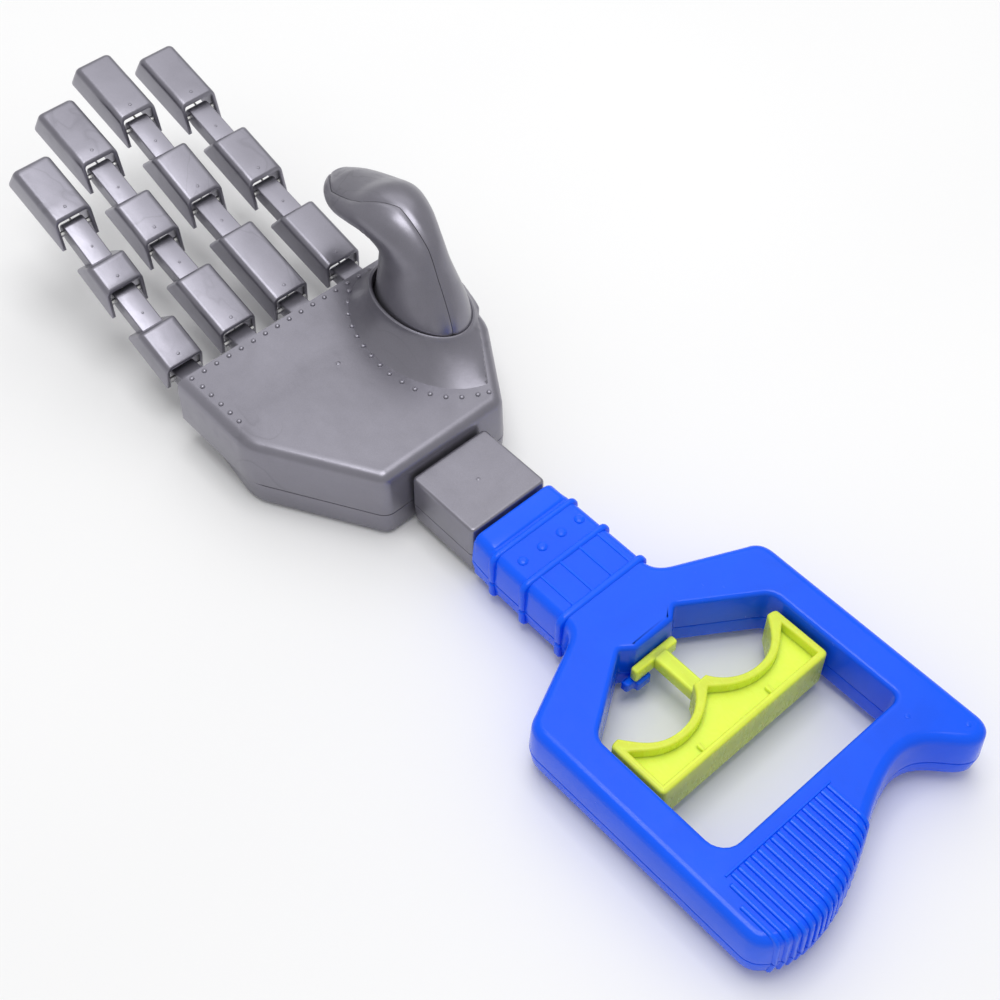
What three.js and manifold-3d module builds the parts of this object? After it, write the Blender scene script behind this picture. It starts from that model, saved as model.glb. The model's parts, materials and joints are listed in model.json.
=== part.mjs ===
// A toy robot hand on a pistol-grip handle, in millimetres.
// It lies on its back: +X runs to the fingertips, +Y to the little finger, +Z out of the palm.
import * as THREE from "three";
import { mergeVertices } from "three/addons/utils/BufferGeometryUtils.js";
import Module from "manifold-3d";

const wasm = await Module();
wasm.setup();

// ---- driving dimensions ----
const GAP = 0.3; // between pieces that touch
const WALL = 2.3; // casing wall
const PARTING_Z = 10.2; // every casing splits at this height
const AXIS_Z = 12.65; // wrist swivel and drawbar axis

const HANDLE_Z = [2.8, 22.3];
const NECK = { front: 37.9, halfWidth: 17, rear: -6.5, rearHalfWidth: 17.8 };
const FRAME = { front: -20.4, halfWidth: 48.6, sideBar: 13.1 };
const GRIP = { front: -83.6, gripEnd: -113, waist: [-96.2, -21.5], hornTip: [-108.4, -42] };
const HEEL = { x: [-104, -88], y: [4, 40] }; // flat pad under the grip that reaches the table

const BLOCK = { rear: 38.5, front: 67.5, halfWidth: 15.3, z: [2.4, 22.4] };
const PALM = { top: 28, rear: 67.8, front: 143.8, leftY: 48.4, backLeftY: 43.4 };
const SCREW = { shank: 1.25, head: 2.7, headHeight: 1.9, sink: 1.2 };

const PULL = 20; // trigger travel that closes the hand
const TRIGGER = { front: -39.4, rear: -60.3, halfWidth: 34, z: [4.6, 19.4], wall: 2.4, web: [11.4, 15.4] };
const SCALLOP = { rootX: -41.4, floorX: -49.2, floorY: 15.8, tipY: 30.8 };
const TEE = { x: [-26.6, -23.9], y: [-7, 10], z: [9.9, 15.3], stemHalfWidth: 2.6 };

const DRAWBAR = { rear: -23, front: 131.3, radius: 2.2, flangeX: 26, flangeRadius: 5.2 };
const SPRING = { rear: -11.9, coilRadius: 4, wire: 0.5, turns: 9 };
const SPOOL = { radius: 4.9, flange: 7, bore: 2.6 };
const YOKE = { x: [124, 128.5], barZ: [17.6, 23.4], hubRadius: 5.4 };

// One row per finger: its middle, its two link lengths, the cap's length and each member's pitch.
const FINGERS = [
  { name: "index", y: -28.8, knuckle: [155.6, 17.9], links: [43.2, 38.7], cap: 30, pitch: [13.2, 16.5, 15] },
  { name: "middle", y: -6, knuckle: [155.6, 17.3], links: [48.2, 38.3], cap: 31.2, pitch: [15.6, 20.3, 15.5] },
  { name: "ring", y: 16.3, knuckle: [155.4, 17.4], links: [42.4, 34.9], cap: 30.4, pitch: [16.4, 21, 15.5] },
  { name: "little", y: 38.8, knuckle: [154.5, 17.3], links: [33.2, 28.4], cap: 28.5, pitch: [22, 26, 18] },
];
const MEMBERS = ["proximal", "middle", "distal"];
const SHELL = { width: 14.4, top: 6.8, bottom: 3.8, wall: 1.5, edge: 2.3 };
const MOUTH = { slanted: [-4, 1.5], square: [-1, 1] }; // where its back and palm-side edges start
const SHELL_END = { top: 17, bottom: 11.5 }; // how far a shell stops short of the next pivot
const TONGUE = { halfWidth: 4.1, top: 2.9, bottom: -3.2, nose: 2.9 };
const PIN = { radius: 1, halfLength: 6, boss: 2.7 };
const CORD = { radius: 0.35, bore: 0.66, height: 2, start: 128.9 };

const THUMB = { x: 113, y: -28.9, turn: -0.13, wall: 1.8, seatZ: 30.4 }; // turned about its screw
const MOUND = { centre: [108.5, -29.3], radii: [33.2, 23.6], rootZ: 27.5 };
const RIM = { z: 36.6, tilt: 0.18, lip: 1.4, flare: 1.5 };

const GREY = new THREE.MeshStandardMaterial({ color: 0x9a98a3, roughness: 0.38, metalness: 0.35 });
const BLUE = new THREE.MeshStandardMaterial({ color: 0x1450f0, roughness: 0.3, metalness: 0 });
const YELLOW = new THREE.MeshStandardMaterial({ color: 0xe6f53c, roughness: 0.35, metalness: 0 });
const STEEL = new THREE.MeshStandardMaterial({ color: 0xb8bcc2, roughness: 0.3, metalness: 1 });
const WHITE = new THREE.MeshStandardMaterial({ color: 0xe8e8e4, roughness: 0.5, metalness: 0 });

// ---- solids ----
function solid(geometry) {
  const bare = geometry.index ? geometry.toNonIndexed() : geometry.clone();
  bare.deleteAttribute("normal");
  bare.deleteAttribute("uv");
  const merged = mergeVertices(bare, 1e-4);
  return new wasm.Manifold(
    new wasm.Mesh({
      numProp: 3,
      vertProperties: new Float32Array(merged.attributes.position.array),
      triVerts: new Uint32Array(merged.index.array),
    }),
  );
}

function join(...parts) {
  return parts.reduce((all, part) => all.add(part));
}

function cut(body, ...tools) {
  return tools.reduce((left, tool) => left.subtract(tool), body);
}

function mesh(name, body, material) {
  const made = body.getMesh();
  const geometry = new THREE.BufferGeometry();
  geometry.setAttribute("position", new THREE.BufferAttribute(made.vertProperties, 3));
  geometry.setIndex(new THREE.BufferAttribute(made.triVerts, 1));
  geometry.computeVertexNormals();
  const node = new THREE.Mesh(geometry, material);
  node.name = name;
  return node;
}

function box([x0, x1], [y0, y1], [z0, z1]) {
  const block = new THREE.BoxGeometry(x1 - x0, y1 - y0, z1 - z0);
  block.translate((x0 + x1) / 2, (y0 + y1) / 2, (z0 + z1) / 2);
  return solid(block);
}

// A prism over a shape in the XY plane, with chamfered rims if bevel is given.
function prism(shape, [z0, z1], bevel = 0, curveSegments = 5) {
  const geometry = new THREE.ExtrudeGeometry(shape, {
    depth: z1 - z0 - 2 * bevel,
    bevelEnabled: bevel > 0,
    bevelSize: bevel,
    bevelThickness: bevel,
    bevelOffset: -bevel,
    bevelSegments: 2,
    curveSegments,
  });
  geometry.translate(0, 0, z0 + bevel);
  return solid(geometry);
}

function cylinderZ(x, y, radius, [z0, z1], sides = 12) {
  const geometry = new THREE.CylinderGeometry(radius, radius, z1 - z0, sides);
  geometry.rotateX(Math.PI / 2);
  geometry.translate(x, y, (z0 + z1) / 2);
  return solid(geometry);
}

function cylinderX([x0, x1], y, z, radius, sides = 20) {
  const geometry = new THREE.CylinderGeometry(radius, radius, x1 - x0, sides);
  geometry.rotateZ(Math.PI / 2);
  geometry.translate((x0 + x1) / 2, y, z);
  return solid(geometry);
}

function cylinderY(x, [y0, y1], z, radius, sides = 10) {
  const geometry = new THREE.CylinderGeometry(radius, radius, y1 - y0, sides);
  geometry.translate(x, (y0 + y1) / 2, z);
  return solid(geometry);
}

// A closed outline through corners [x, y, radius], each corner rounded by its radius.
function roundedOutline(corners) {
  const path = new THREE.Shape();
  corners.forEach(([x, y, radius], i) => {
    const corner = new THREE.Vector2(x, y);
    const [bx, by] = corners[(i + corners.length - 1) % corners.length];
    const [ax, ay] = corners[(i + 1) % corners.length];
    const before = new THREE.Vector2(bx, by).sub(corner).normalize();
    const after = new THREE.Vector2(ax, ay).sub(corner).normalize();
    const reach = radius / Math.tan(Math.acos(before.dot(after)) / 2);
    const start = corner.clone().addScaledVector(before, reach);
    const end = corner.clone().addScaledVector(after, reach);
    if (i === 0) path.moveTo(start.x, start.y);
    else path.lineTo(start.x, start.y);
    if (radius > 0) path.quadraticCurveTo(x, y, end.x, end.y);
  });
  path.closePath();
  return path;
}

// The same outline moved inwards by a distance (outwards when negative).
function inset(shape, distance, divisions = 5) {
  const isNew = (p, i, all) => p.distanceTo(all[(i + all.length - 1) % all.length]) > 0.05;
  const points = shape.getPoints(divisions).filter(isNew);
  const turn = THREE.ShapeUtils.area(points) > 0 ? 1 : -1;
  const moved = points.map((p, i) => {
    const before = points[(i + points.length - 1) % points.length];
    const after = points[(i + 1) % points.length];
    const a = p.clone().sub(before).normalize();
    const b = after.clone().sub(p).normalize();
    const normal = new THREE.Vector2(-(a.y + b.y), a.x + b.x).normalize();
    const stretch = 1 / Math.max(0.5, normal.dot(new THREE.Vector2(-a.y, a.x)));
    return p.clone().addScaledVector(normal, turn * distance * stretch);
  });
  return new THREE.Shape(moved);
}

const above = (z) => box([-400, 400], [-200, 200], [z, 200]);
const below = (z) => box([-400, 400], [-200, 200], [-200, z]);

// ---- screws ----
const SCREW_TOP = 17.5;
const UNDER_ALL = -1; // lower than every casing
const HANDLE_SCREWS = [[4, 10.8], [4, -10.8], [-52, 41.3], [-52, -41.3], [-97, 22]];
const PALM_SCREWS = [[133, -17.4], [133, 27.6], [79, 17], [79, -17]];
const BLOCK_SCREWS = [[56, 10.6], [56, -10.6]];

function screw([x, y], floor) {
  const under = floor + SCREW.sink;
  const recess = cylinderZ(x, y, 1.1, [under - 1, under + 0.8], 6);
  const head = cylinderZ(x, y, SCREW.head, [under, under + SCREW.headHeight]);
  const shank = cylinderZ(x, y, SCREW.shank, [under + SCREW.headHeight - 0.5, SCREW_TOP], 10);
  return cut(join(head, shank), recess);
}

// The clearance that a screw needs in the two shells.
function screwHole([x, y], floor) {
  const under = floor + SCREW.sink;
  const well = cylinderZ(x, y, SCREW.head + GAP, [UNDER_ALL, under + SCREW.headHeight + GAP]);
  const bore = cylinderZ(x, y, SCREW.shank + GAP, [floor, SCREW_TOP + GAP], 10);
  return join(well, bore);
}

// Posts inside the casing that the screws go through.
function posts(places, [z0, z1]) {
  return join(...places.map(([x, y]) => cylinderZ(x, y, 3.9, [z0, z1], 12)));
}

// Two casing halves from an outer solid, the cavity inside it and its screws.
function casing(outer, cavity, screws, [z0, z1]) {
  const hollow = cut(outer, cut(cavity, posts(screws, [z0, z1])));
  const bored = cut(hollow, ...screws.map((place) => screwHole(place, z0)));
  return {
    front: bored.intersect(above(PARTING_Z + GAP / 2)),
    back: bored.intersect(below(PARTING_Z - GAP / 2)),
  };
}

// ---- handle ----
function handleOutline() {
  const { front, halfWidth, rear, rearHalfWidth } = NECK;
  const side = FRAME.halfWidth;
  const outline = new THREE.Shape();
  outline.moveTo(front, -halfWidth);
  outline.lineTo(front, halfWidth);
  outline.lineTo(rear + 3, rearHalfWidth - 0.5);
  outline.quadraticCurveTo(rear, rearHalfWidth, rear - 2, rearHalfWidth + 4);
  outline.lineTo(FRAME.front + 1.8, side - 5.2);
  outline.quadraticCurveTo(FRAME.front, side, FRAME.front - 6, side);
  outline.lineTo(-103, side);
  outline.bezierCurveTo(-109.5, side, GRIP.gripEnd, 40.5, GRIP.gripEnd, 31);
  outline.bezierCurveTo(GRIP.gripEnd, 12, -97.5, -6, ...GRIP.waist);
  outline.bezierCurveTo(-95.2, -33, -107, -35.5, ...GRIP.hornTip);
  outline.bezierCurveTo(-108.9, -46, -106.5, -side, -102, -side);
  outline.lineTo(FRAME.front - 6, -side);
  outline.quadraticCurveTo(FRAME.front, -side, FRAME.front + 1.8, -side + 5.2);
  outline.lineTo(rear - 2, -rearHalfWidth - 4);
  outline.quadraticCurveTo(rear, -rearHalfWidth, rear + 3, -rearHalfWidth + 0.5);
  outline.closePath();
  return outline;
}

function loopOpening() {
  const side = FRAME.halfWidth - FRAME.sideBar;
  return roundedOutline([
    [-23.6, 7.6, 0],
    [-20.6, 11.4, 0],
    [-36.6, side, 5],
    [GRIP.front, side, 6],
    [GRIP.front, -side, 2.5],
    [-36.6, -side, 5],
    [-20.6, -11.4, 0],
    [-23.6, -7.6, 0],
  ]);
}

// Raised bands round the neck: a collar, two hoops, and four ribs between the hoops.
function neckBands() {
  const hoops = [[28.2, NECK.front - 0.8], [12.8, 15.6], [-3.2, -0.4]];
  const bands = hoops.map((x) => box(x, [-17.9, 17.9], [HANDLE_Z[0], HANDLE_Z[1] + 0.5]));
  const ribs = [-12.6, -5, 3, 11].map((y) => box([-1, 13.5], [y - 0.7, y + 0.7], [19, HANDLE_Z[1] + 0.3]));
  return join(...bands, ...ribs);
}

function handleShells() {
  const [z0, z1] = HANDLE_Z;
  const opening = prism(loopOpening(), [z0 - 2, z1 + 2]);
  const heel = box(HEEL.x, HEEL.y, [0, z0 + 1]);
  const outer = join(cut(prism(handleOutline(), [z0, z1], 1.8), opening), neckBands(), heel);
  const ring = cut(
    prism(inset(handleOutline(), WALL), [z0 + WALL, z1 - WALL]),
    prism(inset(loopOpening(), -WALL), [z0, z1]),
  );
  const bulkhead = box([-14.6, -12.2], [-14, 14], [z0, z1]);
  const slot = box([-26, -10], [-3.4, 3.4], [AXIS_Z - 3.4, AXIS_Z + 3.4]);
  const rodHole = cylinderX([-15, -12], 0, AXIS_Z, DRAWBAR.radius + GAP, 14);
  const collarHole = cylinderX([30, NECK.front + 1], 0, AXIS_Z, SPOOL.radius + GAP);
  const halves = casing(outer, cut(ring, bulkhead), HANDLE_SCREWS, HANDLE_Z);
  const tools = [slot.subtract(bulkhead), rodHole, collarHole];
  const lobe = cut(
    box([-27.5, -23.3], [4.2, 12.6], [z0 + 0.6, TEE.z[0] - GAP]),
    box([-29, -25.8], [9.6, 13], [0, 20]),
  );
  return [
    mesh("handle_front_shell", cut(halves.front, ...tools), BLUE),
    mesh("handle_back_shell", cut(join(halves.back, lobe), ...tools), BLUE),
    ...HANDLE_SCREWS.map((place, i) => mesh(`handle_screw_${i + 1}`, screw(place, HANDLE_Z[0]), STEEL)),
  ];
}

// ---- trigger and drawbar ----
// Two finger scallops in the front edge, square at the back.
function triggerOutline() {
  const { front, rear, halfWidth } = TRIGGER;
  const { rootX, floorX, floorY, tipY } = SCALLOP;
  const outline = new THREE.Shape();
  outline.moveTo(rear + 2, -halfWidth);
  outline.lineTo(front - 1.5, -halfWidth);
  outline.quadraticCurveTo(front, -halfWidth, front, -tipY);
  outline.bezierCurveTo(front - 3.4, -tipY + 3, floorX, -floorY - 9, floorX, -floorY);
  outline.bezierCurveTo(floorX, -floorY + 8, rootX - 2, -TEE.stemHalfWidth - 0.8, rootX, -TEE.stemHalfWidth);
  outline.lineTo(rootX, TEE.stemHalfWidth);
  outline.bezierCurveTo(rootX - 2, TEE.stemHalfWidth + 0.8, floorX, floorY - 8, floorX, floorY);
  outline.bezierCurveTo(floorX, floorY + 9, front - 3.4, tipY - 3, front, tipY);
  outline.quadraticCurveTo(front, halfWidth, front - 1.5, halfWidth);
  outline.lineTo(rear + 2, halfWidth);
  outline.quadraticCurveTo(rear, halfWidth, rear, halfWidth - 2);
  outline.lineTo(rear, -halfWidth + 2);
  outline.quadraticCurveTo(rear, -halfWidth, rear + 2, -halfWidth);
  return outline;
}

// The hollow between the trigger's rim walls.
function triggerPocket() {
  const { rear, halfWidth, wall, front } = TRIGGER;
  const { rootX, floorX, floorY } = SCALLOP;
  const side = halfWidth - wall;
  const outline = new THREE.Shape();
  outline.moveTo(rear + wall, -side);
  outline.lineTo(front - 5, -side);
  outline.bezierCurveTo(front - 7, -side + 3.5, floorX - wall, -floorY - 9, floorX - wall, -floorY);
  outline.bezierCurveTo(floorX - wall, -floorY + 9, rootX - wall - 2, -2, rootX - wall - 1, 0);
  outline.bezierCurveTo(rootX - wall - 2, 2, floorX - wall, floorY - 9, floorX - wall, floorY);
  outline.bezierCurveTo(floorX - wall, floorY + 9, front - 7, side - 3.5, front - 5, side);
  outline.lineTo(rear + wall, side);
  outline.closePath();
  return outline;
}

function trigger() {
  const { z, web, front } = TRIGGER;
  const body = prism(triggerOutline(), z, 0.6);
  const upper = prism(triggerPocket(), [web[1], z[1] + 1]);
  const lower = prism(triggerPocket(), [z[0] - 1, web[0]]);
  const ribs = [-14, 14].map((y) => box([-59, -55.5], [y - 1, y + 1], [z[0] + 1, z[1] - 1.2]));
  const stem = box([front - 4.5, TEE.x[1] - 0.3], [-TEE.stemHalfWidth, TEE.stemHalfWidth], TEE.z);
  const head = box(TEE.x, TEE.y, TEE.z);
  const peg = cylinderX([TEE.x[1] - 0.5, -19], 0, AXIS_Z, 1.2, 10);
  return mesh("trigger", join(cut(body, upper, lower), ...ribs, stem, head, peg), YELLOW);
}

function drawbar() {
  const { rear, front, radius, flangeX, flangeRadius } = DRAWBAR;
  const rod = cylinderX([rear, front], 0, AXIS_Z, radius, 12);
  const flange = cylinderX([flangeX, flangeX + 2], 0, AXIS_Z, flangeRadius, 16);
  const head = cylinderX([front - 2.4, front], 0, AXIS_Z, 4, 14);
  const socket = cylinderX([rear - 1, -18.4], 0, AXIS_Z, 1.5, 10);
  return mesh("drawbar", cut(join(rod, flange, head), socket), WHITE);
}

// A helix closed round the rod, from the bulkhead to the rod's flange.
function returnSpring() {
  class Coil extends THREE.Curve {
    getPoint(t, target = new THREE.Vector3()) {
      const { rear, coilRadius, wire, turns } = SPRING;
      const angle = 2 * Math.PI * turns * t;
      const clear = wire + GAP;
      const x = rear + clear + (DRAWBAR.flangeX - rear - 2 * clear) * t;
      return target.set(x, coilRadius * Math.cos(angle), AXIS_Z + coilRadius * Math.sin(angle));
    }
  }
  const section = new THREE.Shape();
  section.absarc(0, 0, SPRING.wire, 0, 2 * Math.PI);
  const wire = new THREE.ExtrudeGeometry(section, {
    steps: SPRING.turns * 9,
    extrudePath: new Coil(),
    curveSegments: 3,
  });
  return mesh("return_spring", solid(wire), STEEL);
}

// ---- wrist ----
function swivelSpool() {
  const barrel = cylinderX([34.6, 43.6], 0, AXIS_Z, SPOOL.radius);
  const inHandle = cylinderX([32.2, 34.9], 0, AXIS_Z, SPOOL.flange);
  const inBlock = cylinderX([41.6, 44], 0, AXIS_Z, SPOOL.flange);
  const bore = cylinderX([30, 46], 0, AXIS_Z, SPOOL.bore, 14);
  return mesh("swivel_spool", cut(join(barrel, inHandle, inBlock), bore), WHITE);
}

function wristBlock() {
  const { rear, front, halfWidth, z } = BLOCK;
  const outline = (d) =>
    roundedOutline([
      [rear + d, -halfWidth + d, d ? 0 : 2],
      [front - d, -halfWidth + d, 0],
      [front - d, halfWidth - d, 0],
      [rear + d, halfWidth - d, d ? 0 : 2],
    ]);
  const tenon = join(
    box([front - 0.5, 73.4], [-9, 9], [5.4, 19.4]),
    box([70.7, 73.4], [-12, 12], [4.6, 20.6]),
  );
  const outer = join(prism(outline(0), z, 1.2), tenon);
  const inside = join(
    prism(outline(WALL + 0.5), [z[0] + WALL, z[1] - WALL]),
    box([front - 4, 75], [-7, 7], [7.4, 17.4]),
  );
  const hole = cylinderX([rear - 1, rear + 4], 0, AXIS_Z, SPOOL.radius + GAP);
  const halves = casing(outer, inside, BLOCK_SCREWS, z);
  return [
    mesh("wrist_block_front", cut(halves.front, hole), GREY),
    mesh("wrist_block_back", cut(halves.back, hole), GREY),
    ...BLOCK_SCREWS.map((place, i) => mesh(`wrist_screw_${i + 1}`, screw(place, z[0]), STEEL)),
  ];
}

// ---- thumb ----
// [x, z, radius along the bend, radius across it], drawn in the plane y = THUMB.y and then turned.
const THUMB_SECTIONS = [
  [112.7, 29.4, 21.3, 14.6],
  [113, 37, 19.9, 13.4],
  [115.6, 49, 15.6, 10.6],
  [117.9, 56.4, 12.6, 9.8],
  [122.6, 61.2, 9.2, 11],
  [130.5, 62, 7.8, 12.2],
  [139, 59, 6.8, 12.2],
  [149, 54.8, 6.9, 11],
  [157, 51.4, 6.9, 8.6],
  [162.2, 49.6, 5.2, 5.8],
  [165, 49, 1.8, 2.2],
];

function turnThumb(geometry) {
  geometry.translate(-THUMB.x, -THUMB.y, 0);
  geometry.rotateZ(THUMB.turn);
  geometry.translate(THUMB.x, THUMB.y, 0);
  return geometry;
}

function thumbSolid(shrink) {
  const count = THUMB_SECTIONS.length;
  const spine = THUMB_SECTIONS.map(([x, z]) => new THREE.Vector3(x, THUMB.y, z));
  const centres = new THREE.CatmullRomCurve3(spine);
  const tube = new THREE.CylinderGeometry(1, 1, 1, 20, count - 1);
  const place = tube.attributes.position;
  for (let i = 0; i < place.count; i += 1) {
    const row = Math.round((place.getY(i) + 0.5) * (count - 1));
    const [x, z, along, across] = THUMB_SECTIONS[row];
    const heading = row === 0 ? new THREE.Vector3(0, 0, 1) : centres.getTangent(row / (count - 1));
    const size = (radius) => Math.max(0.4, radius - shrink);
    const u = place.getX(i) * size(along);
    const v = place.getZ(i) * size(across);
    place.setXYZ(i, x + u * heading.z, THUMB.y - v, z - u * heading.x);
  }
  return solid(turnThumb(tube));
}

// Everything on one side of the thumb's seam.
function thumbSide(way) {
  const side = new THREE.BoxGeometry(160, 60, 80);
  side.translate(THUMB.x + 20, THUMB.y + way * (30 + GAP / 2), 60);
  return solid(turnThumb(side));
}

function thumbHalves() {
  const body = thumbSolid(0).intersect(above(THUMB.seatZ));
  const cavity = cut(thumbSolid(THUMB.wall), box([144, 180], [-60, 0], [0, 90]), below(THUMB.seatZ + 2));
  const post = cylinderZ(THUMB.x, THUMB.y, 4.2, [THUMB.seatZ, 42], 12);
  const bore = cylinderZ(THUMB.x, THUMB.y, SCREW.shank + GAP, [28, 40.5], 10);
  const hollow = cut(join(cut(body, cavity), post), bore);
  return [
    mesh("thumb_inner_half", hollow.intersect(thumbSide(1)), GREY),
    mesh("thumb_outer_half", hollow.intersect(thumbSide(-1)), GREY),
  ];
}

// ---- palm ----
function palmOutline(frontLeftY) {
  return roundedOutline([
    [PALM.front, frontLeftY, 3],
    [108, PALM.leftY, 14],
    [PALM.rear, 24.8, 3.5],
    [PALM.rear, -24.4, 3],
    [97, -44, 14],
    [122, -50.2, 10],
    [PALM.front, -42, 5],
  ]);
}

// The flared socket round the thumb, a cone between two ovals with a hollow flank.
function thumbMound() {
  const rows = 6;
  const cone = new THREE.CylinderGeometry(1, 1, 1, 36, rows);
  const place = cone.attributes.position;
  const [, , rimAlong, rimAcross] = THUMB_SECTIONS[1];
  const middle = new THREE.Vector2(THUMB.x, THUMB.y);
  for (let i = 0; i < place.count; i += 1) {
    const t = Math.round((place.getY(i) + 0.5) * rows) / rows;
    const [along, across] = [place.getX(i), -place.getZ(i)];
    const rim = new THREE.Vector2((rimAlong + RIM.lip) * along, (rimAcross + RIM.lip) * across);
    rim.add(middle).rotateAround(middle, THUMB.turn);
    const root = new THREE.Vector2(MOUND.radii[0] * along, MOUND.radii[1] * across);
    root.add(new THREE.Vector2(...MOUND.centre));
    const spot = rim.clone().lerp(root, (1 - t) ** RIM.flare);
    const rimZ = RIM.z + RIM.tilt * (rim.y - THUMB.y);
    place.setXYZ(i, spot.x, spot.y, MOUND.rootZ * (1 - t) + rimZ * t);
  }
  return solid(cone);
}

function palmTongue({ y, knuckle: [x, z] }) {
  const sides = [y - TONGUE.halfWidth, y + TONGUE.halfWidth];
  const bar = box([PALM.front - 3, x], sides, [z + TONGUE.bottom, z + TONGUE.top]);
  return join(bar, cylinderY(x, sides, z, TONGUE.nose));
}

function palmTongueCuts({ y, knuckle: [x, z] }) {
  const pivot = cylinderY(x, [y - 8, y + 8], z, PIN.radius + GAP, 8);
  const bore = cylinderX([PALM.front - 8, x + 5], y, z + CORD.height, CORD.bore, 6);
  const notch = box([x - 1.5, x + 5], [y - 0.9, y + 0.9], [z + 1.4, z + 5]);
  return join(pivot, bore, notch);
}

function palm() {
  const outline = palmOutline(PALM.leftY);
  const narrower = palmOutline(PALM.backLeftY);
  const column = prism(inset(outline, 0.6), [0, 80]);
  const upper = prism(outline, [0, PALM.top], 2.2).intersect(above(PARTING_Z));
  const lower = prism(narrower, [0, PALM.top], 2.2).intersect(below(PARTING_Z));
  const outer = join(upper, lower, thumbMound().intersect(column));
  const inside = prism(inset(narrower, WALL), [WALL, PALM.top - WALL]);
  const socket = thumbSolid(-GAP).intersect(above(THUMB.seatZ - GAP));
  const halves = casing(outer, inside, PALM_SCREWS, [0, PALM.top]);
  const wristHole = box([PALM.rear - 1, PALM.rear + 4], [-9.3, 9.3], [5.1, 19.7]);
  const thumbBore = cylinderZ(THUMB.x, THUMB.y, SCREW.shank + GAP, [20, 34], 10);
  const thumbSink = cylinderZ(THUMB.x, THUMB.y, SCREW.head + GAP, [20, 27.2]);
  const front = cut(
    join(halves.front, ...FINGERS.map(palmTongue)),
    socket,
    wristHole,
    thumbBore,
    thumbSink,
    ...FINGERS.map(palmTongueCuts),
  );
  const rails = [-7.4, 5.8].map((y) => box([102, 131], [y, y + 1.6], [WALL - 0.5, PARTING_Z - 1]));
  const back = cut(join(halves.back, ...rails), wristHole);
  return [
    mesh("palm_front_cover", front, GREY),
    mesh("palm_back_cover", back, GREY),
    ...PALM_SCREWS.map((place, i) => mesh(`palm_screw_${i + 1}`, screw(place, 0), STEEL)),
    mesh("thumb_screw", thumbScrew(), STEEL),
  ];
}

function thumbScrew() {
  const head = cylinderZ(THUMB.x, THUMB.y, SCREW.head, [25, 26.9]);
  const shank = cylinderZ(THUMB.x, THUMB.y, SCREW.shank, [26.5, 40], 10);
  const recess = cylinderZ(THUMB.x, THUMB.y, 1.1, [24, 25.8], 6);
  return cut(join(head, shank), recess);
}

// The slider in the palm that the drawbar's head pulls and the four cords hang on.
function cordYoke() {
  const [x0, x1] = YOKE.x;
  const hub = cylinderX([x0, x1], 0, AXIS_Z, YOKE.hubRadius);
  const stem = box([x0, x1], [-4, 4], [AXIS_Z + 2, YOKE.barZ[1]]);
  const bar = box([x0, x1], [FINGERS[0].y - 3, FINGERS[3].y + 0.9], YOKE.barZ);
  const bore = cylinderX([x0 - 1, x1 + 1], 0, AXIS_Z, DRAWBAR.radius + GAP, 14);
  return mesh("cord_yoke", cut(join(hub, stem, bar), bore), WHITE);
}

// ---- fingers ----
// A side profile in (u, v), drawn along the member and towards the palm side, made solid across y.
function slab(corners, halfWidth) {
  const shape = new THREE.Shape(corners.map(([u, v]) => new THREE.Vector2(u, v)));
  const geometry = new THREE.ExtrudeGeometry(shape, { depth: 2 * halfWidth, bevelEnabled: false });
  geometry.rotateX(Math.PI / 2);
  geometry.translate(0, halfWidth, 0);
  return solid(geometry);
}

// A bar along u whose two palm-side edges are rounded.
function roundTopped(halfWidth, bottom, top, edge, [u0, u1]) {
  const section = roundedOutline([
    [bottom, -halfWidth, 0],
    [top, -halfWidth, edge],
    [top, halfWidth, edge],
    [bottom, halfWidth, 0],
  ]);
  const bar = new THREE.ExtrudeGeometry(section, {
    depth: u1 - u0,
    bevelEnabled: false,
    curveSegments: 2,
  });
  const alongZ = new THREE.Vector3(0, 0, 1);
  const alongX = new THREE.Vector3(1, 0, 0);
  bar.applyMatrix4(new THREE.Matrix4().makeBasis(alongZ, new THREE.Vector3(0, -1, 0), alongX));
  bar.translate(u0, 0, 0);
  return solid(bar);
}

const BAR_SPAN = [-20, 60]; // longer than any member, both ways

// One finger member about its own pivot: a channel open at the back of the hand, with the tongue
// that carries the next member unless it is the fingertip.
function member(kind, link) {
  const { width, top, bottom, wall, edge } = SHELL;
  const isTip = kind === 2;
  const lip = kind === 0 ? MOUTH.square : MOUTH.slanted;
  const end = isTip ? [link, link - 3.6] : [link - SHELL_END.bottom, link - SHELL_END.top];
  const side = [[lip[0], -bottom], [end[0], -bottom], [end[1], top], [lip[1], top]];
  const under = -bottom - 1;
  const room = [[-12, under], [end[0] - wall, under], [end[1] - wall, top - wall], [-12, top - wall]];
  const bore = roundTopped(width / 2 - wall, under, top - wall, edge - 0.8, BAR_SPAN);
  const outer = slab(side, width).intersect(roundTopped(width / 2, -bottom, top, edge, BAR_SPAN));
  const cavity = slab(room, width).intersect(bore);
  let body = cut(outer, cavity);
  for (const s of [-1, 1]) {
    const inner = TONGUE.halfWidth + GAP;
    const bossY = s > 0 ? [inner, width / 2 - 0.5] : [-width / 2 + 0.5, -inner];
    body = body.add(cylinderY(0, bossY, 0, PIN.boss).intersect(outer));
  }
  if (!isTip) {
    const bar = box([end[1] - 5, link], [-TONGUE.halfWidth, TONGUE.halfWidth], [TONGUE.bottom, TONGUE.top]);
    body = join(body, bar, cylinderY(link, [-TONGUE.halfWidth, TONGUE.halfWidth], 0, TONGUE.nose));
    body = cut(
      body,
      cylinderY(link, [-8, 8], 0, PIN.radius + GAP, 8),
      cylinderX([end[1] - 7, link + 5], 0, CORD.height, CORD.bore, 6),
      box([link - 1.5, link + 5], [-0.9, 0.9], [1.4, 5]),
    );
  }
  return cut(body, cylinderY(0, [-PIN.halfLength - GAP, PIN.halfLength + GAP], 0, PIN.radius + GAP, 8));
}

const radians = (degrees) => (degrees * Math.PI) / 180;

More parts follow.
